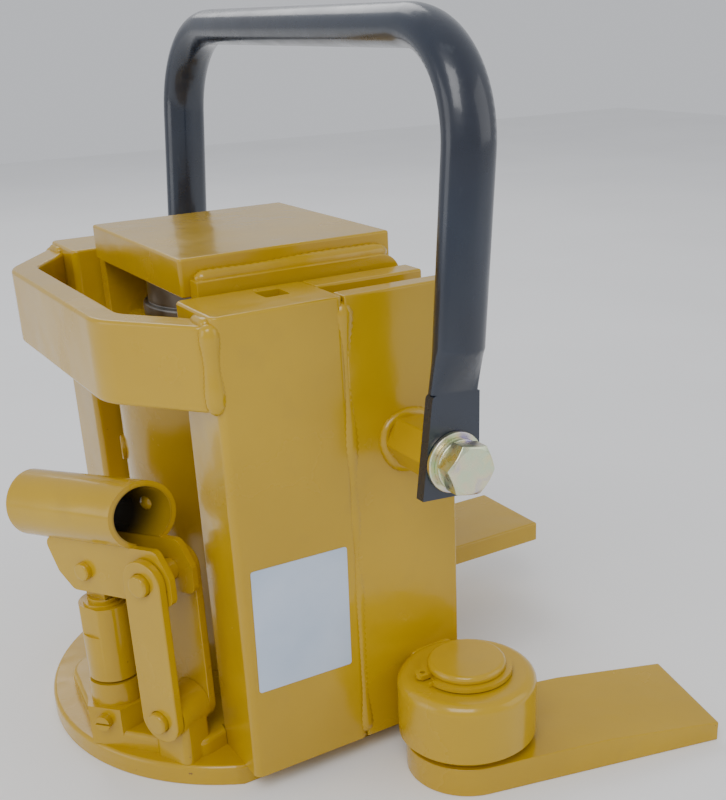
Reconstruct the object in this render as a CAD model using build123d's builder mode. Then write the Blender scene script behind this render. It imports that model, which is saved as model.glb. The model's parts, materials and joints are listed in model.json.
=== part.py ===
from build123d import *
import os
from math import cos, radians, sin, tan

# Hydraulic toe jack, millimetres.
# Origin: centre of the round base disc's underside, on the ram's axis.
# +X points along the lifting toe, +Y to the left of the toe, +Z up.

# ---------------------------------------------------------------- driving dimensions
frame_top = 260
standing_gap = 0.5

disc_radius = 121.5
disc_thickness = 12
disc_flat_y = 108
disc_chamfer = 1.5

side_outer_y = 123
side_bottom = disc_thickness
box_width = 44
box_front_x = -54
box_rear_x = 14
box_wall = 6
box_corner = 4
box_cap_thickness = 8
vent_x = -10
vent_y = 95
vent_size = 13
guide_thickness = 16
plate_thickness = 12
plate_rear_x = 75.4

loop_bottom = 215
loop_top = 256
loop_thickness = 15
loop_front_x = -92.5
loop_corner_y = 75
loop_end_y = 119
loop_bend = 22

barrel_radius = 44
bore_radius = 36
tank_radius = 60
tank_wall = 4
pedestal_radius = 66
pedestal_top = 34
tank_seat = 30
barrel_seat = 22
tank_top = 218
cover_top = 224
gland_radius = 49.5
gland_top = 232
rod_radius = 32
running_clearance = 0.05

saddle_bottom = 233
saddle_step = 241
saddle_radius = 40
saddle_neck_radius = 37

head_bottom = 257
head_top = 276
head_front_x = -44.5
head_rear_x = 74.5
head_half_width = 65.5
cheek_outer_y = 75
cheek_front_x = -40
cheek_top = 266
cheek_corner = 12
carriage_bottom = 45.5
carriage_rear_x = 75
back_front_x = 63.5
toe_top = 58
toe_step = 2
toe_tip_x = 204
toe_half_width = 31

foot_pivot_x = 56.8
foot_pivot_y = 158
foot_angle = 14
foot_length = 137.6
foot_half_width = 34
foot_thickness = 17
foot_nose_thickness = 11.5
foot_bevel_length = 68
foot_pin_radius = 21
foot_pin_top = 65
boss_radius = 37.6
boss_bottom = 21
boss_top = 57
boss_shoulder = 6
boss_chamfer = 2
collar_radius = 31
circlip_bottom = 58
circlip_thickness = 2.5
circlip_groove_radius = 19.2
circlip_radius = 26.5

handle_pivot_x = 46
handle_pivot_z = 182
handle_lean = 4.5
handle_leg_y = 165
handle_bar_height = 195.6
handle_half_width = 13.5
handle_half_depth = 10
handle_tube_wall = 2.5
handle_bend = 52
flat_centre_y = 162
flat_top_width = 27
flat_end_width = 33
flat_thickness = 6
flat_end = 18.5
flat_top = 34
flat_blend = 22
spacer_flats = 25
bolt_radius = 8
bolt_flats = 24
bolt_head_height = 10
bolt_length = 44
washer_radius = 15.5
washer_thickness = 3
lock_washer_radius = 13
lock_washer_thickness = 4
pivot_clearance = 0.08

pump_x = -96.1
pump_y = -35.75
lever_heading = 64
lever_tilt = -6
pin_spacing = 46
link_length = 81.5
link_low_z = 40
link_width = 25
link_inner = 10.2
link_outer = 15.4
lug_half = 9.9
link_pin_radius = 6
link_pin_half_length = 19
plunger_pin_radius = 5
plunger_pin_half_length = 13.6
tube_height = 31.5
tube_start = -3
tube_mouth = 4.9
mouth_angle = 18.3
tube_length = 90.5
tube_radius = 17.9
socket_bore_radius = 14.9
ear_outer = 10
ear_inner = 6.2
plunger_radius = 9
eye_radius = 10.5
eye_half = 5.8
eye_slot_travel = 2.6
eye_slot_width = 10.8
pump_cylinder_radius = 14
pump_cylinder_top = 95
pump_cylinder_seat = 51
pump_flats = 25
spigot_radius = 11
spigot_bottom = 38
pump_foot_flats = 34
pump_foot_angle = 12
pump_foot_top = 36
release_screw_radius = 4.5
release_screw_z = 28

label_width = 54
label_height = 69
label_thickness = 0.4
label_x = -20.5
label_z = 97

# ---------------------------------------------------------------- derived directions
lever_out = Vector(-cos(radians(lever_heading)), sin(radians(lever_heading)), 0)
lever_side = Vector(lever_out.Y, -lever_out.X, 0)
pin_run = pin_spacing * cos(radians(lever_tilt))
pin_drop = pin_spacing * sin(radians(lever_tilt))
lug_x = pump_x - lever_out.X * pin_run
lug_y = pump_y - lever_out.Y * pin_run
link_high_z = link_low_z + link_length
plunger_pin_z = link_high_z + pin_drop

lever_plane = Plane(origin=(lug_x, lug_y, 0), x_dir=lever_out, z_dir=lever_side)
socket_axis = lever_out * cos(radians(lever_tilt)) + Vector(0, 0, sin(radians(lever_tilt)))
socket_plane = Plane(origin=(lug_x, lug_y, link_high_z), x_dir=socket_axis, z_dir=lever_side)
handle_up = Vector(sin(radians(handle_lean)), 0, cos(radians(handle_lean)))
handle_plane = Plane(
    origin=(handle_pivot_x, 0, handle_pivot_z),
    x_dir=(0, 1, 0),
    z_dir=(handle_up.Z, 0, -handle_up.X),
)
sides = (("left", 1), ("right", -1))

os.makedirs("parts", exist_ok=True)


def save(builder, name):
    """Label a finished piece and write it as its own STEP file."""
    builder.part.label = name
    export_step(builder.part, f"parts/{name}.step")


def side_face(side, y):
    """Vertical plane at distance y on one side, its normal pointing outwards."""
    return Plane(origin=(0, side * y, 0), x_dir=(-side, 0, 0), z_dir=(0, side, 0))


# ---------------------------------------------------------------- stationary frame
def make_base_disc():
    """Round load plate with a flat under each side member."""
    with BuildPart() as base_disc:
        with BuildSketch():
            Circle(disc_radius)
            Rectangle(2 * disc_radius, 2 * disc_flat_y, mode=Mode.INTERSECT)
        extrude(amount=disc_thickness)
        chamfer(base_disc.faces().sort_by(Axis.Z)[-1].edges(), disc_chamfer)
    save(base_disc, "base_disc")


def make_side_members():
    """Front box with its vented cap, rear plate and guide plate, on each side."""
    box_length = box_rear_x - box_front_x
    box_x = (box_rear_x + box_front_x) / 2
    box_y = side_outer_y - box_width / 2
    cap_bottom = frame_top - box_cap_thickness
    plate_length = plate_rear_x - box_rear_x
    plate_x = (plate_rear_x + box_rear_x) / 2
    plate_y = side_outer_y - plate_thickness / 2
    for name, side in sides:
        with BuildPart() as box:
            with BuildSketch(Plane.XY.offset(side_bottom)):
                with Locations((box_x, side * box_y)):
                    RectangleRounded(box_length, box_width, box_corner)
                    inner_corner = 2
                    RectangleRounded(
                        box_length - 2 * box_wall,
                        box_width - 2 * box_wall,
                        inner_corner,
                        mode=Mode.SUBTRACT,
                    )
            extrude(amount=cap_bottom - side_bottom)
        save(box, f"side_box_{name}")

        with BuildPart() as cap:
            with BuildSketch(Plane.XY.offset(cap_bottom)):
                with Locations((box_x, side * box_y)):
                    RectangleRounded(box_length, box_width, box_corner)
                with Locations((vent_x, side * vent_y)):
                    Rectangle(vent_size, vent_size, mode=Mode.SUBTRACT)
            extrude(amount=box_cap_thickness)
            outline = cap.faces().sort_by(Axis.Z)[-1].outer_wire().edges()
            fillet(outline, 1.5)
        save(cap, f"side_box_cap_{name}")

        with BuildPart() as plate:
            with BuildSketch(Plane.XY.offset(side_bottom)):
                with Locations((plate_x, side * plate_y)):
                    Rectangle(plate_length, plate_thickness)
            extrude(amount=frame_top - side_bottom)
            rear = plate.faces().sort_by(Axis.X)[-1].edges().filter_by(Axis.Z)
            top = plate.faces().sort_by(Axis.Z)[-1].edges().filter_by(Axis.X)
            fillet(rear + top, 1.5)
        save(plate, f"side_plate_{name}")

        guide_y = side_outer_y - box_width + guide_thickness / 2
        with BuildPart() as guide:
            with BuildSketch(Plane.XY.offset(side_bottom)):
                with Locations((plate_x, side * guide_y)):
                    Rectangle(plate_length, guide_thickness)
            extrude(amount=frame_top - side_bottom)
            fillet(guide.faces().sort_by(Axis.Z)[-1].edges().filter_by(Axis.X), 1.5)
        save(guide, f"guide_plate_{name}")


def make_front_loop():
    """Flat bar bent round the front and welded to both box members."""
    with BuildPart() as loop:
        with BuildSketch(Plane.XY.offset(loop_bottom)):
            with BuildLine():
                half = loop_thickness / 2
                corner_x = loop_front_x + half
                corner_y = loop_corner_y - half / 2
                end_y = loop_end_y - half
                centre = FilletPolyline(
                    (box_front_x, -end_y),
                    (corner_x, -corner_y),
                    (corner_x, corner_y),
                    (box_front_x, end_y),
                    radius=loop_bend,
                )
                offset(centre, amount=half, side=Side.BOTH)
            make_face()
            with Locations((box_front_x + loop_thickness, 0)):
                Rectangle(2 * loop_thickness, 4 * loop_end_y, mode=Mode.SUBTRACT)
        extrude(amount=loop_top - loop_bottom)
        long_edges = loop.faces().sort_by(Axis.Z)[-1].edges() + loop.faces().sort_by(Axis.Z)[0].edges()
        ends = loop.faces().filter_by(Axis.X).sort_by(Axis.X)[-2:].edges()
        fillet([edge for edge in long_edges if edge not in ends], 2)
    save(loop, "front_loop")


def make_foot_bosses():
    """Bored boss welded to each rear plate, for the foot's hinge pin."""
    for name, side in sides:
        with BuildPart() as boss:
            with BuildSketch(Plane.XY.offset(boss_bottom)):
                with Locations((foot_pivot_x, side * foot_pivot_y)):
                    Circle(boss_radius)
            extrude(amount=boss_top - boss_bottom)
            chamfer(boss.faces().sort_by(Axis.Z)[0].edges(), boss_chamfer)
            fillet(boss.faces().sort_by(Axis.Z)[-1].edges(), boss_shoulder)
            with BuildSketch(Plane.XY.offset(boss_bottom)):
                with Locations((foot_pivot_x, side * foot_pivot_y)):
                    Circle(foot_pin_radius + running_clearance)
                with Locations((foot_pivot_x, 0)):
                    Rectangle(4 * boss_radius, 2 * side_outer_y)
            extrude(amount=boss_top - boss_bottom, mode=Mode.SUBTRACT)
        save(boss, f"foot_boss_{name}")


def make_handle_mounting():
    """Hex spacers on the rear plates, with the bolts and washers that carry the handle."""
    spacer_end = flat_centre_y - flat_thickness / 2 - standing_gap
    washer_start = flat_centre_y + flat_thickness / 2
    washer_end = washer_start + washer_thickness
    head_start = washer_end + lock_washer_thickness
    with BuildPart() as spacers:
        for _, side in sides:
            with BuildSketch(side_face(side, side_outer_y)):
                with Locations((-side * handle_pivot_x, handle_pivot_z)):
                    RegularPolygon(spacer_flats / 2, 6, major_radius=False)
                    Circle(bolt_radius, mode=Mode.SUBTRACT)
            extrude(amount=spacer_end - side_outer_y)
    save(spacers, "handle_spacers")

    with BuildPart() as washers:
        for _, side in sides:
            with BuildSketch(side_face(side, washer_start)):
                with Locations((-side * handle_pivot_x, handle_pivot_z)):
                    Circle(washer_radius)
                    Circle(bolt_radius, mode=Mode.SUBTRACT)
            extrude(amount=washer_thickness)
    save(washers, "handle_washers")

    with BuildPart() as lock_washers:
        for _, side in sides:
            with BuildSketch(side_face(side, washer_end)):
                with Locations((-side * handle_pivot_x, handle_pivot_z)):
                    Circle(lock_washer_radius)
                    Circle(bolt_radius, mode=Mode.SUBTRACT)
            extrude(amount=lock_washer_thickness)
    save(lock_washers, "handle_lock_washers")

    with BuildPart() as bolts:
        for _, side in sides:
            with BuildSketch(side_face(side, head_start)):
                with Locations((-side * handle_pivot_x, handle_pivot_z)):
                    RegularPolygon(bolt_flats / 2, 6, major_radius=False, rotation=20)
            extrude(amount=bolt_head_height)
            with BuildSketch(side_face(side, head_start)):
                with Locations((-side * handle_pivot_x, handle_pivot_z)):
                    Circle(bolt_radius)
            extrude(amount=-bolt_length)
    save(bolts, "handle_bolts")


def make_label():
    """Plain blank label on the right-hand side member."""
    with BuildPart() as label:
        with BuildSketch(side_face(-1, side_outer_y)):
            with Locations((label_x, label_z)):
                RectangleRounded(label_width, label_height, 1.5, rotation=-1)
        extrude(amount=label_thickness)
    save(label, "blank_label")


# ---------------------------------------------------------------- hydraulic unit
def make_jack_base():
    """Cast base: round pedestal, pad under the pump, hexagonal pump foot and link lug."""
    pad_height = 10
    pump_pad_radius = 16.5
    far_pad = (-86, 22)
    far_pad_radius = 20
    lug_pad = (lug_x + 8, lug_y + 3)
    lug_pad_radius = 14
    lug_foot_half = 12
    lug_corner = 4
    lug_head_radius = 13
    collar_step = 1.6
    pump_centre = (pump_x, pump_y)
    box_length = box_rear_x - box_front_x
    with BuildPart() as jack_base:
        with BuildSketch(Plane.XY.offset(disc_thickness)):
            Circle(pedestal_radius)
            for centre, radius in (
                (pump_centre, pump_pad_radius),
                (far_pad, far_pad_radius),
                (lug_pad, lug_pad_radius),
            ):
                with Locations(centre):
                    Circle(radius)
            make_hull()
        extrude(amount=pad_height)
        fillet(jack_base.faces().sort_by(Axis.Z)[-1].edges(), 3)
        with BuildSketch(Plane.XY.offset(disc_thickness)):
            with Locations((box_front_x + box_length / 2, -side_outer_y + box_width / 2)):
                Rectangle(box_length + standing_gap, box_width + standing_gap)
        extrude(amount=pad_height, mode=Mode.SUBTRACT)
        with BuildSketch(Plane.XY.offset(disc_thickness)):
            Circle(pedestal_radius)
        extrude(amount=pedestal_top - disc_thickness)
        with BuildSketch(Plane.XY.offset(disc_thickness)):
            with Locations(pump_centre):
                RegularPolygon(pump_foot_flats / 2, 6, major_radius=False, rotation=pump_foot_angle)
        extrude(amount=pump_foot_top - disc_thickness)
        with BuildSketch(Plane.XY.offset(disc_thickness)):
            with Locations(pump_centre):
                Circle(pump_cylinder_radius + collar_step / 2)
        extrude(amount=pump_cylinder_seat - collar_step - disc_thickness)
        lug_plane = Plane(origin=(lug_x, lug_y, disc_thickness), x_dir=lever_out, z_dir=(0, 0, 1))
        with BuildSketch(lug_plane):
            RectangleRounded(2 * lug_foot_half, 2 * lug_half, lug_corner)
        extrude(amount=link_low_z - disc_thickness)
        with BuildSketch(lever_plane):
            with Locations((0, link_low_z)):
                Circle(lug_head_radius)
        extrude(amount=lug_half, both=True)
        with BuildSketch(lever_plane):
            with Locations((0, link_low_z)):
                Circle(link_pin_radius)
        extrude(amount=lug_half, both=True, mode=Mode.SUBTRACT)
        with BuildSketch(Plane.XY.offset(tank_seat)):
            Circle(tank_radius)
        extrude(amount=pedestal_top - tank_seat, mode=Mode.SUBTRACT)
        with BuildSketch(Plane.XY.offset(barrel_seat)):
            Circle(barrel_radius)
        extrude(amount=pedestal_top - barrel_seat, mode=Mode.SUBTRACT)
        with BuildSketch(Plane.XY.offset(spigot_bottom)):
            with Locations(pump_centre):
                Circle(spigot_radius)
        extrude(amount=pump_cylinder_seat - spigot_bottom, mode=Mode.SUBTRACT)
    save(jack_base, "jack_base")


def make_cylinder_group():
    """Barrel, oil tank, tank cover, gland nut, wiper and filler plug round the ram."""
    with BuildPart() as barrel:
        with BuildSketch(Plane.XY.offset(barrel_seat)):
            Circle(barrel_radius)
        extrude(amount=cover_top - barrel_seat)
        floor_thickness = 6
        with BuildSketch(Plane.XY.offset(barrel_seat + floor_thickness)):
            Circle(bore_radius)
        extrude(amount=cover_top, mode=Mode.SUBTRACT)
    save(barrel, "cylinder_barrel")

    with BuildPart() as tank:
        with BuildSketch(Plane.XY.offset(tank_seat)):
            Circle(tank_radius)
            Circle(tank_radius - tank_wall, mode=Mode.SUBTRACT)
        extrude(amount=tank_top - tank_seat)
    save(tank, "oil_tank")

    with BuildPart() as cover:
        with BuildSketch(Plane.XY.offset(tank_top)):
            Circle(tank_radius)
            Circle(barrel_radius, mode=Mode.SUBTRACT)
        extrude(amount=cover_top - tank_top)
        chamfer(cover.faces().sort_by(Axis.Z)[-1].outer_wire().edges(), 2)
    save(cover, "tank_cover")

    notch_count = 6
    notch_angle = 12
    notch_depth = 8
    notch_width = 9
    with BuildPart() as gland:
        with BuildSketch(Plane.XY.offset(cover_top)):
            Circle(gland_radius)
            Circle(rod_radius + running_clearance, mode=Mode.SUBTRACT)
            with PolarLocations(gland_radius, notch_count, start_angle=notch_angle):
                Rectangle(notch_depth, notch_width, mode=Mode.SUBTRACT)
        extrude(amount=gland_top - cover_top)
    save(gland, "gland_nut")

    wiper_width = 4
    with BuildPart() as wiper:
        with BuildSketch(Plane.XY.offset(gland_top)):
            Circle(rod_radius + wiper_width)
            Circle(rod_radius + running_clearance, mode=Mode.SUBTRACT)
        extrude(amount=saddle_bottom - gland_top - standing_gap)
    save(wiper, "rod_wiper")

    plug_angle = 163
    plug_height = 158
    plug_radius = 7
    plug_length = 3.2
    plug_direction = Vector(cos(radians(plug_angle)), sin(radians(plug_angle)), 0)
    plug_plane = Plane(
        origin=plug_direction * (tank_radius - 1) + Vector(0, 0, plug_height), z_dir=plug_direction
    )
    with BuildPart() as plug:
        with BuildSketch(plug_plane):
            Circle(plug_radius)
        extrude(amount=plug_length)
        fillet(plug.faces().sort_by(Axis.X)[0].edges(), 1)
        with BuildSketch():
            Circle(tank_radius)
        extrude(amount=frame_top, mode=Mode.SUBTRACT)
    save(plug, "filler_plug")


def make_pump():
    """Pump cylinder screwed into the base, its wiper, and the release screw."""
    flats_height = 17
    bore_bottom = 54
    wiper_width = 2.5
    wiper_height = 1.5
    pump_centre = (pump_x, pump_y)
    with BuildPart() as cylinder:
        with BuildSketch(Plane.XY.offset(spigot_bottom)):
            with Locations(pump_centre):
                Circle(spigot_radius)
        extrude(amount=pump_cylinder_seat - spigot_bottom)
        with BuildSketch(Plane.XY.offset(pump_cylinder_seat)):
            with Locations(pump_centre):
                Circle(pump_cylinder_radius)
        extrude(amount=pump_cylinder_top - pump_cylinder_seat)
        flats_plane = Plane(
            origin=(pump_x, pump_y, pump_cylinder_top - flats_height), x_dir=lever_side, z_dir=(0, 0, 1)
        )
        with BuildSketch(flats_plane):
            Circle(2 * pump_cylinder_radius)
            Rectangle(pump_flats, 4 * pump_cylinder_radius, mode=Mode.SUBTRACT)
        extrude(amount=flats_height, mode=Mode.SUBTRACT)
        with BuildSketch(Plane.XY.offset(bore_bottom)):
            with Locations(pump_centre):
                Circle(plunger_radius + running_clearance)
        extrude(amount=pump_cylinder_top - bore_bottom, mode=Mode.SUBTRACT)
    save(cylinder, "pump_cylinder")

    with BuildPart() as wiper:
        with BuildSketch(Plane.XY.offset(pump_cylinder_top)):
            with Locations(pump_centre):
                Circle(plunger_radius + wiper_width)
                Circle(plunger_radius + running_clearance, mode=Mode.SUBTRACT)
        extrude(amount=wiper_height)
    save(wiper, "pump_wiper")

    screw_angle = radians(pump_foot_angle + 210)
    screw_direction = Vector(cos(screw_angle), sin(screw_angle), 0)
    screw_plane = Plane(
        origin=Vector(pump_x, pump_y, release_screw_z) + screw_direction * (pump_foot_flats / 2),
        x_dir=(0, 0, 1),
        z_dir=screw_direction,
    )
    head_height = 4
    slot_depth = 1.5
    slot_width = 1.2
    with BuildPart() as screw:
        with BuildSketch(screw_plane):
            Circle(release_screw_radius)
        extrude(amount=head_height)
        with BuildSketch(screw_plane.offset(head_height - slot_depth)):
            Rectangle(slot_width, 3 * release_screw_radius)
        extrude(amount=slot_depth, mode=Mode.SUBTRACT)
    save(screw, "release_screw")


def make_ram():
    """Ram rod with its piston, seal and stepped saddle."""
    piston_bottom = barrel_seat + 8
    piston_top = piston_bottom + 24
    groove_bottom = piston_bottom + 10
    groove_height = 5
    groove_radius = 33
    piston_radius = bore_radius - running_clearance
    with BuildPart() as rod:
        with BuildSketch(Plane.XY.offset(piston_top)):
            Circle(rod_radius)
        extrude(amount=saddle_bottom - piston_top)
    save(rod, "ram_rod")

    with BuildPart() as piston:
        with BuildSketch(Plane.XY.offset(piston_bottom)):
            Circle(piston_radius)
        extrude(amount=piston_top - piston_bottom)
        with BuildSketch(Plane.XY.offset(groove_bottom)):
            Circle(piston_radius + 1)
            Circle(groove_radius, mode=Mode.SUBTRACT)
        extrude(amount=groove_height, mode=Mode.SUBTRACT)
    save(piston, "ram_piston")

    with BuildPart() as seal:
        with BuildSketch(Plane.XY.offset(groove_bottom)):
            Circle(piston_radius)
            Circle(groove_radius, mode=Mode.SUBTRACT)
        extrude(amount=groove_height)
    save(seal, "piston_seal")

    with BuildPart() as saddle:
        with BuildSketch(Plane.XY.offset(saddle_bottom)):
            Circle(saddle_radius)
        extrude(amount=saddle_step - saddle_bottom)
        fillet(saddle.edges().sort_by(Axis.Z)[0], 2)
        chamfer(saddle.edges().filter_by(GeomType.CIRCLE).sort_by(Axis.Z)[-1], 1)
        with BuildSketch(Plane.XY.offset(saddle_step)):
            Circle(saddle_neck_radius)
        extrude(amount=head_bottom - saddle_step)
    save(saddle, "ram_saddle")


# ---------------------------------------------------------------- lifting carriage
def make_carriage():
    """Head plate, two cheeks, back plate and toe, which rise together."""
    with BuildPart() as head:
        with BuildSketch(Plane.XY.offset(head_bottom)):
            with Locations(((head_front_x + head_rear_x) / 2, 0)):
                Rectangle(head_rear_x - head_front_x, 2 * head_half_width)
        extrude(amount=head_top - head_bottom)
        fillet(head.edges().filter_by(Axis.Z), 2)
        fillet(head.faces().sort_by(Axis.Z)[-1].edges(), 1.5)
    save(head, "head_plate")

    for name, side in sides:
        with BuildPart() as cheek:
            with BuildSketch(side_face(side, head_half_width)):
                with BuildLine():
                    Polyline(
                        (-side * cheek_front_x, carriage_bottom),
                        (-side * carriage_rear_x, carriage_bottom),
                        (-side * carriage_rear_x, cheek_top),
                        (-side * cheek_front_x, cheek_top),
                        close=True,
                    )
                make_face()
            extrude(amount=cheek_outer_y - head_half_width)
            rear_corner = cheek.edges().filter_by(Axis.Y).sort_by(Axis.Z)[-2:].sort_by(Axis.X)[-1]
            fillet(rear_corner, cheek_corner)
        save(cheek, f"cheek_{name}")

    with BuildPart() as back:
        with BuildSketch(Plane.XY.offset(toe_top + toe_step)):
            with Locations(((back_front_x + carriage_rear_x) / 2, 0)):
                Rectangle(carriage_rear_x - back_front_x, 2 * head_half_width)
        extrude(amount=head_bottom - toe_top - toe_step)
    save(back, "back_plate")

    with BuildPart() as toe:
        with BuildSketch(Plane.XY.offset(carriage_bottom)):
            with Locations(((back_front_x + toe_tip_x) / 2, 0)):
                Rectangle(toe_tip_x - back_front_x, 2 * toe_half_width)
        extrude(amount=toe_top - carriage_bottom)
        top = toe.faces().sort_by(Axis.Z)[-1].edges().filter_by(Axis.X)
        tip = toe.faces().sort_by(Axis.X)[-1].edges()
        fillet(top + tip, 1.5)
        with BuildSketch(Plane.XY.offset(carriage_bottom)):
            with Locations(((back_front_x + carriage_rear_x) / 2, 0)):
                Rectangle(carriage_rear_x - back_front_x, 2 * toe_half_width)
        extrude(amount=toe_top + toe_step - carriage_bottom)
    save(toe, "toe")


# ---------------------------------------------------------------- swinging feet
def make_feet():
    """Foot plate with bevelled nose, hinge pin and circlip on each side."""
    collar_top = boss_bottom - standing_gap
    eye_angle = 17
    eye_ring_radius = circlip_radius - 2
    eye_radius = 4
    eye_hole_radius = 1.4
    circlip_gap = 7
    for name, side in sides:
        pivot = Plane(
            origin=(foot_pivot_x, side * foot_pivot_y, 0),
            x_dir=(cos(radians(foot_angle)), side * sin(radians(foot_angle)), 0),
            z_dir=(0, 0, 1),
        )
        with BuildPart() as foot:
            with BuildSketch(pivot):
                Circle(foot_half_width)
                with Locations((foot_length / 2, 0)):
                    Rectangle(foot_length, 2 * foot_half_width)
            extrude(amount=foot_thickness)
            nose_plane = Plane(origin=pivot.origin, x_dir=pivot.x_dir, z_dir=-pivot.y_dir)
            with BuildSketch(nose_plane):
                with BuildLine():
                    Polyline(
                        (foot_length - foot_bevel_length, foot_thickness),
                        (foot_length, foot_nose_thickness),
                        (foot_length + 1, foot_thickness),
                        close=True,
                    )
                make_face()
            extrude(amount=2 * foot_half_width, both=True, mode=Mode.SUBTRACT)
        save(foot, f"foot_plate_{name}")

        with BuildPart() as pin:
            with BuildSketch(pivot.offset(foot_thickness)):
                Circle(collar_radius)
            extrude(amount=collar_top - foot_thickness)
            with BuildSketch(pivot.offset(foot_thickness)):
                Circle(foot_pin_radius)
            extrude(amount=foot_pin_top - foot_thickness)
            chamfer(pin.faces().sort_by(Axis.Z)[-1].edges(), 1.5)
            with BuildSketch(pivot.offset(circlip_bottom)):
                Circle(foot_pin_radius + 1)
                Circle(circlip_groove_radius, mode=Mode.SUBTRACT)
            extrude(amount=circlip_thickness, mode=Mode.SUBTRACT)
        save(pin, f"foot_pin_{name}")

        with BuildPart() as circlip:
            with BuildSketch(Plane(origin=(foot_pivot_x, side * foot_pivot_y, circlip_bottom))):
                Circle(eye_ring_radius)
                with PolarLocations(
                    eye_ring_radius, 2, start_angle=180 - eye_angle, angular_range=2 * eye_angle
                ):
                    Circle(eye_radius)
                Circle(circlip_groove_radius, mode=Mode.SUBTRACT)
                with Locations((-circlip_radius, 0)):
                    Rectangle(circlip_radius, circlip_gap, mode=Mode.SUBTRACT)
                with PolarLocations(
                    eye_ring_radius, 2, start_angle=180 - eye_angle, angular_range=2 * eye_angle
                ):
                    Circle(eye_hole_radius, mode=Mode.SUBTRACT)
            extrude(amount=circlip_thickness)
        save(circlip, f"circlip_{name}")


# ---------------------------------------------------------------- carry handle
def make_handle():
    """Bent oval tube with pressed-flat ends, on the two bolts."""
    leg_start = flat_top + flat_blend
    flat_corner = 3
    pressed_corner = flat_thickness / 2 - 0.5
    with BuildPart() as handle:
        with BuildLine(handle_plane) as path:
            FilletPolyline(
                (-handle_leg_y, leg_start),
                (-handle_leg_y, handle_bar_height),
                (handle_leg_y, handle_bar_height),
                (handle_leg_y, leg_start),
                radius=handle_bend,
            )
        section = Plane(
            origin=handle_plane.from_local_coords((-handle_leg_y, leg_start, 0)),
            x_dir=(0, 1, 0),
            z_dir=handle_up,
        )
        with BuildSketch(section):
            Ellipse(handle_half_depth, handle_half_width)
            Ellipse(
                handle_half_depth - handle_tube_wall,
                handle_half_width - handle_tube_wall,
                mode=Mode.SUBTRACT,
            )
        sweep(path=path.line)
        for _, side in sides:
            top_plane = Plane(
                origin=handle_plane.from_local_coords((side * handle_leg_y, leg_start, 0)),
                x_dir=(0, 1, 0),
                z_dir=handle_up,
            )
            low_plane = Plane(
                origin=handle_plane.from_local_coords((side * flat_centre_y, flat_top, 0)),
                x_dir=(0, 1, 0),
                z_dir=handle_up,
            )
            with BuildSketch(top_plane):
                Ellipse(handle_half_depth, handle_half_width)
            with BuildSketch(low_plane):
                RectangleRounded(flat_thickness, flat_top_width, pressed_corner)
            loft()
            flat_plane = Plane(
                origin=handle_plane.from_local_coords((side * flat_centre_y, 0, 0)),
                x_dir=handle_plane.z_dir,
                z_dir=(0, -1, 0),
            )
            with BuildSketch(flat_plane) as flat:
                with BuildLine():
                    Polyline(
                        (-flat_top_width / 2, flat_top),
                        (-flat_end_width / 2, -flat_end),
                        (flat_end_width / 2, -flat_end),
                        (flat_top_width / 2, flat_top),
                        close=True,
                    )
                make_face()
                fillet(flat.vertices().sort_by(Axis.Z)[:2], flat_corner)
            extrude(amount=flat_thickness / 2, both=True)
            with BuildSketch(flat_plane):
                Circle(bolt_radius + pivot_clearance)
            extrude(amount=flat_thickness, both=True, mode=Mode.SUBTRACT)
    save(handle, "carry_handle")


# ---------------------------------------------------------------- pump lever
def make_links():
    """Two link bars between the base lug and the lever socket, with their pins."""
    for name, start in (("outer", -link_outer), ("inner", link_inner)):
        with BuildPart() as link:
            with BuildSketch(lever_plane.offset(start)):
                with Locations((0, link_low_z + link_length / 2)):
                    SlotCenterToCenter(link_length, link_width, rotation=90)
                with Locations((0, link_low_z)):
                    Circle(link_pin_radius + running_clearance, mode=Mode.SUBTRACT)
                with Locations((0, link_high_z)):
                    Circle(link_pin_radius, mode=Mode.SUBTRACT)
            extrude(amount=link_outer - link_inner)
        save(link, f"link_{name}")

    for name, height in (("link_pin_lower", link_low_z), ("link_pin_upper", link_high_z)):
        with BuildPart() as pin:
            with BuildSketch(lever_plane):
                with Locations((0, height)):
                    Circle(link_pin_radius)
            extrude(amount=link_pin_half_length, both=True)
            chamfer(pin.edges().filter_by(GeomType.CIRCLE), 0.8)
        save(pin, name)


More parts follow.
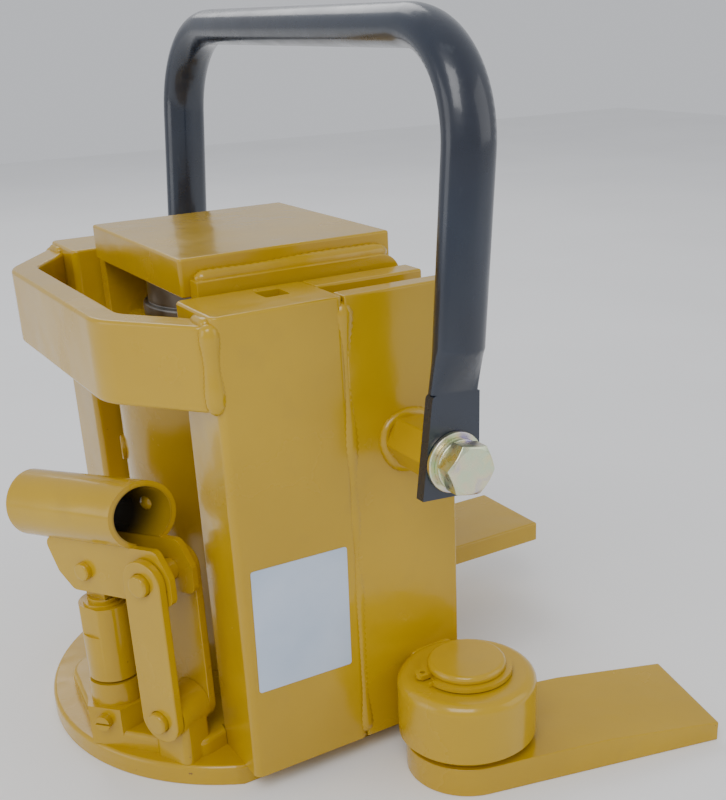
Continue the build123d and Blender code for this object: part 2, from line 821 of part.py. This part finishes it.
def make_lever_socket():
    """Round socket for the pump bar, with two ears that straddle the plunger."""
    reach = 2 * tube_radius
    mouth_slope = tan(radians(mouth_angle)) * reach
    ear_top = 17
    ear_corner = 5
    slot_start = -20
    slot_end = 58
    slot_height = 22
    tube_plane = Plane(
        origin=socket_plane.from_local_coords((tube_start, tube_height, 0)), z_dir=socket_axis
    )
    mouth_plane = Plane(
        origin=socket_plane.from_local_coords((0, tube_height, 0)),
        x_dir=socket_axis,
        z_dir=socket_plane.y_dir,
    )
    with BuildPart() as socket:
        with BuildSketch(tube_plane):
            Circle(tube_radius)
        extrude(amount=tube_length)
        with BuildSketch(mouth_plane):
            with BuildLine():
                Polyline(
                    (tube_mouth - mouth_slope, -reach),
                    (tube_mouth + mouth_slope, reach),
                    (-reach, reach),
                    (-reach, -reach),
                    close=True,
                )
            make_face()
        extrude(amount=reach, both=True, mode=Mode.SUBTRACT)
        with BuildSketch(socket_plane) as ear:
            with BuildLine():
                Polyline(
                    (-9, ear_top),
                    (-15.5, 2),
                    (-14, -13.2),
                    (58, -12.6),
                    (67, -3),
                    (73.5, ear_top),
                    close=True,
                )
            make_face()
            fillet(ear.vertices(), ear_corner)
        extrude(amount=ear_outer, both=True)
        with BuildSketch(socket_plane):
            with Locations(((slot_start + slot_end) / 2, 0)):
                Rectangle(slot_end - slot_start, 2 * slot_height)
        extrude(amount=ear_inner, both=True, mode=Mode.SUBTRACT)
        with BuildSketch(tube_plane):
            Circle(socket_bore_radius)
        extrude(amount=tube_length, mode=Mode.SUBTRACT)
        with BuildSketch(socket_plane):
            Circle(link_pin_radius + running_clearance)
            with Locations((pin_spacing, 0)):
                Circle(plunger_pin_radius)
        extrude(amount=2 * ear_outer, both=True, mode=Mode.SUBTRACT)
    save(socket, "lever_socket")

    with BuildPart() as pin:
        with BuildSketch(socket_plane):
            with Locations((pin_spacing, 0)):
                Circle(plunger_pin_radius)
        extrude(amount=plunger_pin_half_length, both=True)
        chamfer(pin.edges().filter_by(GeomType.CIRCLE), 0.8)
    save(pin, "plunger_pin")


def make_plunger():
    """Pump plunger with a slotted eye for the lever's pin."""
    plunger_bottom = 60
    shoulder_z = plunger_pin_z - 18
    shank_half_width = 6.8
    eye_plane = Plane(origin=(pump_x, pump_y, plunger_pin_z), x_dir=lever_out, z_dir=lever_side)
    with BuildPart() as plunger:
        with BuildSketch(Plane.XY.offset(plunger_bottom)):
            with Locations((pump_x, pump_y)):
                Circle(plunger_radius)
        extrude(amount=shoulder_z - plunger_bottom)
        with BuildSketch(eye_plane):
            Circle(eye_radius)
            with Locations((0, (shoulder_z - plunger_pin_z) / 2)):
                Rectangle(2 * shank_half_width, plunger_pin_z - shoulder_z)
            SlotCenterToCenter(eye_slot_travel, eye_slot_width, mode=Mode.SUBTRACT)
        extrude(amount=eye_half, both=True)
    save(plunger, "plunger")


make_base_disc()
make_side_members()
make_front_loop()
make_foot_bosses()
make_handle_mounting()
make_label()
make_jack_base()
make_cylinder_group()
make_pump()
make_ram()
make_carriage()
make_feet()
make_handle()
make_links()
make_lever_socket()
make_plunger()
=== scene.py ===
import json
import math

import bmesh
import bpy
from mathutils import Matrix, Vector, noise


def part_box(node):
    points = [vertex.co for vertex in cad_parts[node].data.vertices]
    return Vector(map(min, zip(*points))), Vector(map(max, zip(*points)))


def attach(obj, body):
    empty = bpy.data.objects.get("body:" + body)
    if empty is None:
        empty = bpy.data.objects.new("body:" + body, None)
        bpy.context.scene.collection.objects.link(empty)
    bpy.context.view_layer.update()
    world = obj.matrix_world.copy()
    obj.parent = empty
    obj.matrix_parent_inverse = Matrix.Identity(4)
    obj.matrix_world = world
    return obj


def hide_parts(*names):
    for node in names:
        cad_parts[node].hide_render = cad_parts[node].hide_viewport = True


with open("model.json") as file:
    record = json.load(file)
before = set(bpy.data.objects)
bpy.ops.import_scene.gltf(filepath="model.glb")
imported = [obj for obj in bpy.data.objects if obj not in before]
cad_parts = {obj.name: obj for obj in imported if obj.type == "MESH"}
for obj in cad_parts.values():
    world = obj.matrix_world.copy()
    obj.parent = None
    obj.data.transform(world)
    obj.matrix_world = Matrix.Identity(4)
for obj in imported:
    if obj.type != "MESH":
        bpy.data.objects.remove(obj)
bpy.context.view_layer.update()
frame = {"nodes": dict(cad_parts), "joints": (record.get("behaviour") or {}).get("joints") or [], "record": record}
record = frame["record"]
nodes = frame["nodes"]
joints = {joint["name"]: joint for joint in frame["joints"]}
mounts = {mount["name"]: mount for mount in record["mounts"]}
MM = 0.001
SIDES = (("left", 1), ("right", -1))


# ---------------------------------------------------------------- materials
def link(tree, source, target):
    tree.links.new(source, target)


def new_material(name, roughness, metallic=0.0, coat=0.0, coat_roughness=0.05):
    """A Principled material, with its node tree, its shader and its object coordinates."""
    material = bpy.data.materials.new(name)
    material.use_nodes = True
    tree = material.node_tree
    shader = tree.nodes["Principled BSDF"]
    shader.inputs["Roughness"].default_value = roughness
    shader.inputs["Metallic"].default_value = metallic
    shader.inputs["Coat Weight"].default_value = coat
    shader.inputs["Coat Roughness"].default_value = coat_roughness
    place = tree.nodes.new("ShaderNodeTexCoord").outputs["Object"]
    return material, tree, shader, place


def noise_of(tree, place, scale, detail=4.0, stretch=(1, 1, 1)):
    """Output of a noise texture; stretch squeezes it along the axes."""
    mapping = tree.nodes.new("ShaderNodeMapping")
    mapping.inputs["Scale"].default_value = stretch
    link(tree, place, mapping.inputs["Vector"])
    texture = tree.nodes.new("ShaderNodeTexNoise")
    texture.inputs["Scale"].default_value = scale
    texture.inputs["Detail"].default_value = detail
    link(tree, mapping.outputs["Vector"], texture.inputs["Vector"])
    return texture.outputs["Fac"]


def ramp_of(tree, factor, stops):
    """Colour ramp over a factor; stops are (place, colour)."""
    ramp = tree.nodes.new("ShaderNodeValToRGB")
    elements = ramp.color_ramp.elements
    while len(elements) < len(stops):
        elements.new(0.5)
    for element, (place, colour) in zip(elements, stops):
        element.position = place
        element.color = (*colour, 1.0)
    link(tree, factor, ramp.inputs["Fac"])
    return ramp.outputs["Color"]


def range_of(tree, factor, low, high, start=0.0, end=1.0):
    """Maps a factor's low to high onto start to end."""
    mapped = tree.nodes.new("ShaderNodeMapRange")
    mapped.inputs["From Min"].default_value = low
    mapped.inputs["From Max"].default_value = high
    mapped.inputs["To Min"].default_value = start
    mapped.inputs["To Max"].default_value = end
    link(tree, factor, mapped.inputs["Value"])
    return mapped.outputs["Result"]


def mix_of(tree, factor, first, second):
    """Mixes a colour socket, first, towards a plain colour, second."""
    mix = tree.nodes.new("ShaderNodeMix")
    mix.data_type = "RGBA"
    link(tree, factor, mix.inputs["Factor"])
    link(tree, first, mix.inputs["A"])
    mix.inputs["B"].default_value = (*second, 1.0)
    return mix.outputs["Result"]


def bump_of(tree, shader, layers):
    """Chains bumps onto the shader; layers are (height, strength, distance)."""
    normal = None
    for height, strength, distance in layers:
        bump = tree.nodes.new("ShaderNodeBump")
        bump.inputs["Strength"].default_value = strength
        bump.inputs["Distance"].default_value = distance
        link(tree, height, bump.inputs["Height"])
        if normal is not None:
            link(tree, normal, bump.inputs["Normal"])
        normal = bump.outputs["Normal"]
    link(tree, normal, shader.inputs["Normal"])


def vector_math(tree, operation, first, second):
    """Vector maths of a socket and a constant vector or another socket."""
    node = tree.nodes.new("ShaderNodeVectorMath")
    node.operation = operation
    link(tree, first, node.inputs[0])
    if isinstance(second, bpy.types.NodeSocket):
        link(tree, second, node.inputs[1])
    else:
        node.inputs[1].default_value = second
    return node.outputs["Value" if operation in ("LENGTH", "DOT_PRODUCT") else "Vector"]


def painted_bore_shade_mask(tree, place):
    """Mask of the painted shade in the lever's bore: near 1 on its wall, 0 outside it, fading towards the open
    mouth.
    """
    mouth_depth, dark_depth = -40 * MM, -16 * MM
    bore = mounts["lever_bore"]
    axis = Vector(bore["axis"]).normalized()
    offset = vector_math(tree, "SUBTRACT", place, Vector(bore["pos_m"]))
    depth = vector_math(tree, "DOT_PRODUCT", offset, axis)
    across = vector_math(tree, "CROSS_PRODUCT", offset, axis)
    distance = vector_math(tree, "LENGTH", across, (0, 0, 0))
    wall = bore["dims"]["r_mm"] * MM
    inside = range_of(tree, distance, wall + 0.4 * MM, wall + 1.2 * MM, 1.0, 0.0)
    deep = range_of(tree, depth, mouth_depth, dark_depth, 0.25, 0.95)
    both = tree.nodes.new("ShaderNodeMath")
    both.operation = "MULTIPLY"
    link(tree, inside, both.inputs[0])
    link(tree, deep, both.inputs[1])
    return both.outputs["Value"]


def yellow_enamel(name, shaded_bore=False):
    """Thick glossy machine enamel over welded steel: wavy, with dust and a few chips.
    shaded_bore adds painted shade inside the lever's bore, near black and deepening away from the open mouth."""
    material, tree, shader, place = new_material(name, 0.2, coat=0.2)
    tint = ramp_of(
        tree,
        noise_of(tree, place, 9.0),
        ((0.3, (0.44, 0.262, 0.002)), (0.7, (0.52, 0.32, 0.003))),
    )
    dust = range_of(tree, noise_of(tree, place, 38.0, 8.0), 0.58, 0.8, 0.0, 0.35)
    dusty = mix_of(tree, dust, tint, (0.36, 0.22, 0.02))
    chips = range_of(tree, noise_of(tree, place, 170.0, 3.0), 0.765, 0.785)
    colour = mix_of(tree, chips, dusty, (0.16, 0.07, 0.02))
    # Painted shade: the lever's bore darkened almost to black, more so deeper in.
    if shaded_bore:
        colour = mix_of(tree, painted_bore_shade_mask(tree, place), colour, (0.012, 0.012, 0.010))
    link(tree, colour, shader.inputs["Base Color"])
    gloss = range_of(tree, noise_of(tree, place, 22.0, 5.0), 0.3, 0.7, 0.14, 0.3)
    link(tree, gloss, shader.inputs["Roughness"])
    waves = noise_of(tree, place, 34.0, 2.0)
    peel = noise_of(tree, place, 420.0, 2.0)
    bump_of(tree, shader, ((waves, 0.5, 0.0016), (peel, 0.15, 0.0002)))
    return material


def handle_enamel():
    """Blue-black glossy enamel with faint runs and rubbed spots."""
    material, tree, shader, place = new_material(
        "handle_enamel", 0.25, coat=0.5, coat_roughness=0.12
    )
    tint = ramp_of(
        tree,
        noise_of(tree, place, 14.0),
        ((0.3, (0.006, 0.010, 0.022)), (0.75, (0.012, 0.022, 0.042))),
    )
    rubs = range_of(tree, noise_of(tree, place, 120.0, 6.0, (1, 1, 0.35)), 0.66, 0.78, 0.0, 0.5)
    link(tree, mix_of(tree, rubs, tint, (0.05, 0.06, 0.075)), shader.inputs["Base Color"])
    gloss = range_of(tree, noise_of(tree, place, 40.0, 5.0), 0.3, 0.7, 0.2, 0.38)
    link(tree, gloss, shader.inputs["Roughness"])
    bump_of(tree, shader, ((noise_of(tree, place, 60.0, 2.0), 0.2, 0.0006),))
    return material


def zinc_plate():
    """Yellow-passivated zinc, with its drifting green and violet film."""
    material, tree, shader, place = new_material("zinc_plate", 0.3, metallic=1.0)
    film = ramp_of(
        tree,
        noise_of(tree, place, 75.0, 3.0),
        (
            (0.28, (0.50, 0.46, 0.62)),
            (0.42, (0.78, 0.72, 0.50)),
            (0.55, (0.66, 0.76, 0.52)),
            (0.68, (0.86, 0.74, 0.42)),
            (0.8, (0.72, 0.58, 0.70)),
        ),
    )
    link(tree, film, shader.inputs["Base Color"])
    gloss = range_of(tree, noise_of(tree, place, 210.0, 5.0), 0.3, 0.7, 0.2, 0.42)
    link(tree, gloss, shader.inputs["Roughness"])
    bump_of(tree, shader, ((noise_of(tree, place, 900.0, 3.0), 0.15, 0.0001),))
    return material


def machined_steel(name, dark, light, roughness):
    """Turned steel: fine rings round Z, stains and uneven polish."""
    material, tree, shader, place = new_material(name, roughness, metallic=1.0)
    stains = noise_of(tree, place, 55.0, 6.0)
    link(tree, ramp_of(tree, stains, ((0.35, dark), (0.7, light))), shader.inputs["Base Color"])
    gloss = range_of(tree, stains, 0.3, 0.7, roughness * 0.8, roughness * 1.4)
    link(tree, gloss, shader.inputs["Roughness"])
    rings = tree.nodes.new("ShaderNodeTexWave")
    rings.wave_type = "RINGS"
    rings.rings_direction = "Z"
    rings.inputs["Scale"].default_value = 320.0
    rings.inputs["Distortion"].default_value = 0.6
    link(tree, place, rings.inputs["Vector"])
    bump_of(tree, shader, ((rings.outputs["Fac"], 0.12, 0.0001),))
    return material


def seal_rubber():
    """Oily black rubber."""
    material, tree, shader, place = new_material("seal_rubber", 0.5)
    grain = noise_of(tree, place, 300.0, 5.0)
    tint = ramp_of(tree, grain, ((0.3, (0.012, 0.012, 0.012)), (0.7, (0.03, 0.03, 0.03))))
    link(tree, tint, shader.inputs["Base Color"])
    bump_of(tree, shader, ((grain, 0.2, 0.0002),))
    return material


def label_film():
    """Blank pale film, slightly wrinkled where it was rubbed down."""
    material, tree, shader, place = new_material("label_film", 0.35, coat=0.25)
    tint = ramp_of(
        tree,
        noise_of(tree, place, 30.0, 5.0),
        ((0.3, (0.46, 0.56, 0.70)), (0.7, (0.56, 0.64, 0.76))),
    )
    link(tree, tint, shader.inputs["Base Color"])
    wrinkles = noise_of(tree, place, 45.0, 2.0, (1, 1, 0.4))
    fibres = noise_of(tree, place, 1500.0, 2.0)
    bump_of(tree, shader, ((wrinkles, 0.12, 0.0006), (fibres, 0.06, 0.00005)))
    return material


materials = {
    "yellow_enamel": yellow_enamel("yellow_enamel"),
    "handle_enamel": handle_enamel(),
    "zinc_plate": zinc_plate(),
    "ram_steel": machined_steel("ram_steel", (0.42, 0.42, 0.43), (0.62, 0.62, 0.62), 0.18),
    "saddle_steel": machined_steel("saddle_steel", (0.20, 0.20, 0.19), (0.36, 0.35, 0.33), 0.38),
    "seal_rubber": seal_rubber(),
    "label_film": label_film(),
}
# A copy of the yellow enamel with painted shade inside the lever's bore.
socket_enamel_with_bore_shade = yellow_enamel("socket_enamel_with_bore_shade", shaded_bore=True)


def dress_cad_nodes():
    """Gives each CAD node its slot's material and softly broken edges."""
    slots = {part["node"]: part["material_slot"] for part in record["subparts"]}
    edge_width = 0.7 * MM
    unbroken = ("blank_label", "piston_seal", "rod_wiper", "pump_wiper", "circlip", "side_box")
    for name, node in nodes.items():
        finish = socket_enamel_with_bore_shade if name == "lever_socket" else materials[slots[name]]
        node.data.materials.clear()
        node.data.materials.append(finish)
        if name.startswith(unbroken):
            continue
        weld = node.modifiers.new("join_seams", "WELD")
        weld.merge_threshold = 1e-6
        whole = node.modifiers.new("whole_faces", "DECIMATE")
        whole.decimate_type = "DISSOLVE"
        whole.angle_limit = math.radians(0.3)
        bevel = node.modifiers.new("broken_edges", "BEVEL")
        bevel.width = edge_width
        bevel.segments = 2
        bevel.limit_method = "ANGLE"
        bevel.angle_limit = math.radians(38)
        normals = node.modifiers.new("even_normals", "WEIGHTED_NORMAL")
        normals.keep_sharp = False


# ---------------------------------------------------------------- mesh helpers
def mesh_piece(name, built, body, slot):
    """Turns a bmesh into a smooth piece that rides on a body."""
    bmesh.ops.recalc_face_normals(built, faces=built.faces)
    mesh = bpy.data.meshes.new(name)
    built.to_mesh(mesh)
    built.free()
    mesh.shade_smooth()
    mesh.materials.append(materials[slot])
    piece = bpy.data.objects.new(name, mesh)
    bpy.context.scene.collection.objects.link(piece)
    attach(piece, body)
    return piece


def skin(built, rings, closed=False):
    """Faces between neighbouring rings of vertices, and over both ends unless closed."""
    corners = len(rings[0])
    pairs = list(zip(rings, rings[1:]))
    if closed:
        pairs.append((rings[-1], rings[0]))
    for first, second in pairs:
        for k in range(corners):
            after = (k + 1) % corners
            built.faces.new((first[k], first[after], second[after], second[k]))
    if not closed:
        built.faces.new(rings[0])
        built.faces.new(rings[-1])


def outer_y(node):
    """How far a node on one side reaches from the middle plane."""
    return max(abs(corner.y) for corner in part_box(node))


def along(points, step):
    """Points every step along a polyline, with the distance run."""
    spaced = []
    run = 0.0
    for start, end in zip(points, points[1:]):
        length = (end - start).length
        count = max(1, round(length / step))
        for i in range(count):
            spaced.append((start.lerp(end, i / count), run + length * i / count))
        run += length
    spaced.append((points[-1], run))
    return spaced


def add_bead(built, points, radius, pitch, seed, closed=False):
    """Adds a weld bead: a rippled rope of overlapping puddles along a polyline."""
    corners = 12
    mean_size, ripple_depth, wander = 0.95, 0.10, 0.38
    end_size, fade_length = 0.35, 1.5 * radius
    spaced = along(points, pitch / 4)
    if closed:
        spaced = spaced[:-1]
    total = spaced[-1][1]
    rings = []
    across = (spaced[1][0] - spaced[0][0]).orthogonal()
    for i, (point, run) in enumerate(spaced):
        ahead = spaced[(i + 1) % len(spaced)][0] if closed or i + 1 < len(spaced) else point
        behind = spaced[i - 1][0] if closed or i else point
        tangent = (ahead - behind).normalized()
        across = (across - tangent * across.dot(tangent)).normalized()
        upward = across.cross(tangent).normalized()
        puddle = ripple_depth * math.cos(2 * math.pi * run / pitch) ** 2
        wobble = wander * noise.noise(Vector((run / (4 * pitch), seed, 0.3)))
        size = radius * (mean_size + puddle + wobble)
        if not closed:
            fade = min(1.0, min(run, total - run) / fade_length)
            size *= end_size + (1 - end_size) * math.sqrt(max(0.0, 1 - (1 - fade) ** 2))
        ring = []
        for k in range(corners):
            angle = 2 * math.pi * k / corners
            offset = across * math.cos(angle) + upward * math.sin(angle)
            ring.append(built.verts.new(point + offset * size))
        rings.append(ring)
    skin(built, rings, closed)


def weld_piece(name, runs, radius, body, pitch=4.5 * MM, seed=1.0, closed=False):
    """One weld, or several alike, as a single enamelled piece."""
    built = bmesh.new()
    for i, points in enumerate(runs):
        add_bead(built, [Vector(p) for p in points], radius, pitch, seed + 3.7 * i, closed)
    return mesh_piece(name, built, body, "yellow_enamel")


# ---------------------------------------------------------------- welds
def frame_welds():
    """Welds of the stationary frame."""
    loop_low, loop_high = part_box("front_loop")
    disc_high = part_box("base_disc")[1]
    base_weld_z = disc_high.z - 1 * MM
    loop_thickness = 16 * MM
    seam_depth = 4 * MM
    for name, side in SIDES:
        box_low, box_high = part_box(f"side_box_{name}")
        cap_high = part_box(f"side_box_cap_{name}")[1]
        seam_y = side * outer_y(f"side_plate_{name}") - side * seam_depth
        loop_y = side * (abs(loop_high.y) + 0.5 * MM)
        inner_loop_y = side * (abs(loop_high.y) - loop_thickness)
        front = box_low.x
        weld_piece(
            f"loop_weld_{name}",
            [
                [(front, loop_y, loop_low.z - 1 * MM), (front, loop_y, loop_high.z + 1 * MM)],
                [(front, inner_loop_y, loop_low.z), (front, inner_loop_y, loop_high.z)],
            ],
            radius=4.2 * MM,
            body="frame",
            seed=2.0 + side,
        )
        weld_piece(
            f"loop_top_weld_{name}",
            [[(front, inner_loop_y, loop_high.z), (front, loop_y, loop_high.z)]],
            radius=3.2 * MM,
            body="frame",
            seed=5.0 + side,
        )
        weld_piece(
            f"side_seam_weld_{name}",
            [[(box_high.x, seam_y, box_low.z + 2 * MM),
              (box_high.x, seam_y, cap_high.z - 3 * MM)]],
            radius=4.6 * MM,
            body="frame",
            pitch=7 * MM,
            seed=8.0 + side,
        )
        base_y = side * disc_high.y
        weld_piece(
            f"base_weld_{name}",
            [[(box_low.x + 6 * MM, base_y, base_weld_z),
              (box_high.x + 30 * MM, base_y, base_weld_z)]],
            radius=3.6 * MM,
            body="frame",
            seed=11.0 + side,
        )


def boss_welds():
    """Welds between the foot bosses, the handle spacers and the rear plates."""
    for name, side in SIDES:
        boss_low, boss_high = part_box(f"foot_boss_{name}")
        centre_x = (boss_low.x + boss_high.x) / 2
        radius = (boss_high.x - boss_low.x) / 2
        plate_y = side * min(abs(boss_low.y), abs(boss_high.y))
        depth = abs(joints[f"foot_{name}_swing"]["pos_m"][1]) - abs(plate_y)
        half = math.sqrt(radius**2 - depth**2)
        bottom_z, top_z = boss_low.z + 2 * MM, boss_high.z - 5 * MM
        runs = [
            [(centre_x + end * half, plate_y, bottom_z), (centre_x + end * half, plate_y, top_z)]
            for end in (-1, 1)
        ]
        runs.append([(centre_x - half, plate_y, top_z), (centre_x + half, plate_y, top_z)])
        weld_piece(f"boss_weld_{name}", runs, 4.5 * MM, "frame", seed=14.0 + side)

    pivot = Vector(joints["handle_fold"]["pos_m"])
    ring_radius, unevenness = 13.4, 0.7
    steps = 36
    for name, side in SIDES:
        plate_y = side * outer_y(f"side_plate_{name}")
        ring = []
        for i in range(steps + 1):
            angle = 2 * math.pi * i / steps
            reach = (ring_radius + unevenness * math.sin(3 * angle)) * MM
            x, z = pivot.x + reach * math.cos(angle), pivot.z + reach * math.sin(angle)
            ring.append((x, plate_y, z))
        weld_piece(f"spacer_weld_{name}", [ring], 3.6 * MM, "frame", seed=17.0 + side, closed=True)


def carriage_welds():
    """Welds of the head plate, cheeks, back plate and toe."""
    head_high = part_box("head_plate")[1]
    cheek_low, cheek_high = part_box("cheek_left")
    back_low, back_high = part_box("back_plate")
    toe_low, toe_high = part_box("toe")
    toe_top = mounts["toe_top"]["pos_m"][2]
    for name, side in SIDES:
        y = side * head_high.y
        weld_piece(
            f"head_weld_{name}",
            [[(cheek_low.x + 2 * MM, y + side * 2 * MM, cheek_high.z),
              (head_high.x - 4 * MM, y + side * 2 * MM, cheek_high.z)]],
            radius=4.6 * MM,
            body="carriage",
            pitch=8 * MM,
            seed=20.0 + side,
        )
        weld_piece(
            f"back_weld_{name}",
            [[(back_high.x - 2.2 * MM, y, back_low.z + 4 * MM),
              (back_high.x - 2.2 * MM, y, back_high.z - 6 * MM)]],
            radius=3.0 * MM,
            body="carriage",
            pitch=6 * MM,
            seed=23.0 + side,
        )
    weld_piece(
        "toe_weld",
        [[(back_high.x, toe_low.y + 3 * MM, toe_top), (back_high.x, toe_high.y - 3 * MM, toe_top)]],
        radius=3.4 * MM,
        body="carriage",
        seed=26.0,
    )


# ---------------------------------------------------------------- small pieces
def bolt_heads():
    """Hex heads with the turned chamfer, in place of the plain CAD bolts; the hidden shanks
    are left out."""
    pivot = Vector(joints["handle_fold"]["pos_m"])
    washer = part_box("handle_lock_washers")[1].y
    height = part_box("handle_bolts")[1].y - washer
    flat = 12.0 * MM
    chamfer_radius = 11.2 * MM
    face_step = 0.5 * MM
    slope = math.tan(math.radians(30))
    turned_by = 10
    steps = 144
    built = bmesh.new()
    for _, side in SIDES:
        rings = []
        for level in ("root", "shoulder", "rim", "face"):
            ring = []
            for i in range(steps):
                angle = 2 * math.pi * i / steps
                turned = (math.degrees(angle) + turned_by) % 60 - 30
                reach = flat / math.cos(math.radians(turned))
                drop = max(0.0, reach - chamfer_radius) * slope
                if level == "root":
                    size, y = reach, washer
                elif level == "shoulder":
                    size, y = reach, washer + height - drop
                elif level == "rim":
                    size, y = chamfer_radius, washer + height
                else:
                    size, y = chamfer_radius - face_step, washer + height
                x, z = pivot.x + size * math.cos(angle), pivot.z + size * math.sin(angle)
                ring.append(built.verts.new((x, side * y, z)))
            rings.append(ring)
        skin(built, rings)
    piece = mesh_piece("bolt_heads", built, "frame", "zinc_plate")
    piece.data.shade_flat()
    edges = piece.modifiers.new("broken_edges", "BEVEL")
    edges.width = 0.25 * MM
    edges.segments = 2
    edges.limit_method = "ANGLE"
    edges.angle_limit = math.radians(24)
    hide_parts("handle_bolts")


def socket_rivet():
    """Small domed rivet on the inner wall of the lever socket."""
    bore = mounts["lever_bore"]
    axis = Vector(bore["axis"]).normalized()
    across = Vector(joints["lever_tilt"]["axis"]).normalized()
    wall = bore["dims"]["r_mm"] * MM
    from_middle, sunk = 26 * MM, 0.8 * MM
    place = Vector(bore["pos_m"]) - axis * from_middle + across * wall
    built = bmesh.new()
    radius, height = 4.2 * MM, 2.2 * MM
    steps, levels = 28, 7
    upward = axis.cross(across).normalized()
    rings = []
    for level in range(levels):
        lift = level / levels * math.pi / 2
        size = radius * math.cos(lift)
        centre = place + across * sunk - across * (height + sunk) * math.sin(lift)
        ring = []
        for i in range(steps):
            angle = 2 * math.pi * i / steps
            offset = axis * math.cos(angle) + upward * math.sin(angle)
            ring.append(built.verts.new(centre + offset * size))
        rings.append(ring)
    skin(built, rings)
    mesh_piece("socket_rivet", built, "lever", "yellow_enamel")


# ---------------------------------------------------------------- stage
def make_stage():
    """Pale floor, soft lights and an even pale surround."""
    bpy.ops.mesh.primitive_plane_add(size=6.0, location=(0, 0, 0))
    floor = bpy.context.object
    floor.name = "floor"
    material, tree, shader, place = new_material("floor_paper", 0.85)
    tone = ramp_of(
        tree, noise_of(tree, place, 3.0), ((0.3, (0.86, 0.86, 0.86)), (0.7, (0.9, 0.9, 0.9)))
    )
    link(tree, tone, shader.inputs["Base Color"])
    floor.data.materials.append(material)

    world = bpy.data.worlds.new("surround")
    bpy.context.scene.world = world
    world.use_nodes = True
    background = world.node_tree.nodes["Background"]
    background.inputs["Color"].default_value = (0.93, 0.95, 1.0, 1.0)
    background.inputs["Strength"].default_value = 0.68

    target = Vector((0.0, 0.0, 0.14))
    for name, spot, size, power in (
        ("key", (-0.9, -1.1, 1.7), 1.1, 19.0),
        ("fill", (1.5, -1.3, 0.9), 1.4, 6.0),
        ("front", (-1.6, 0.2, 0.6), 0.9, 4.0),
        ("back", (0.4, 1.6, 1.6), 1.2, 10.0),
    ):
        light = bpy.data.lights.new(name, "AREA")
        light.size = size
        light.energy = power
        lamp = bpy.data.objects.new(name, light)
        bpy.context.scene.collection.objects.link(lamp)
        lamp.location = spot
        lamp.rotation_mode = "QUATERNION"
        lamp.rotation_quaternion = (target - Vector(spot)).to_track_quat("-Z", "Y")


def make_camera():
    """Camera at the viewing angle, its shift only what the framing needs."""
    azimuth, elevation, roll = (math.radians(a) for a in (-32.0, 23.2, -1.8))
    camera_spot = Vector((-0.2421, -0.5951, 0.3838))
    back = Vector(
        (
            math.sin(azimuth) * math.cos(elevation),
            -math.cos(azimuth) * math.cos(elevation),
            math.sin(elevation),
        )
    )
    level_right = Vector((math.cos(azimuth), math.sin(azimuth), 0))
    level_up = back.cross(level_right)
    right = level_right * math.cos(roll) + level_up * math.sin(roll)
    upward = level_up * math.cos(roll) - level_right * math.sin(roll)
    camera = bpy.data.objects.new("camera", bpy.data.cameras.new("camera"))
    bpy.context.scene.collection.objects.link(camera)
    turn = Matrix((right, upward, back)).transposed().to_4x4()
    camera.matrix_world = Matrix.Translation(camera_spot) @ turn
    camera.data.lens = 51.6
    camera.data.sensor_width = 36.0
    camera.data.shift_x = -0.0719
    camera.data.shift_y = 0.125
    camera.data.clip_start = 0.01
    camera.data.clip_end = 20.0
    bpy.context.scene.camera = camera


dress_cad_nodes()
frame_welds()
boss_welds()
carriage_welds()
bolt_heads()
socket_rivet()
make_stage()
make_camera()
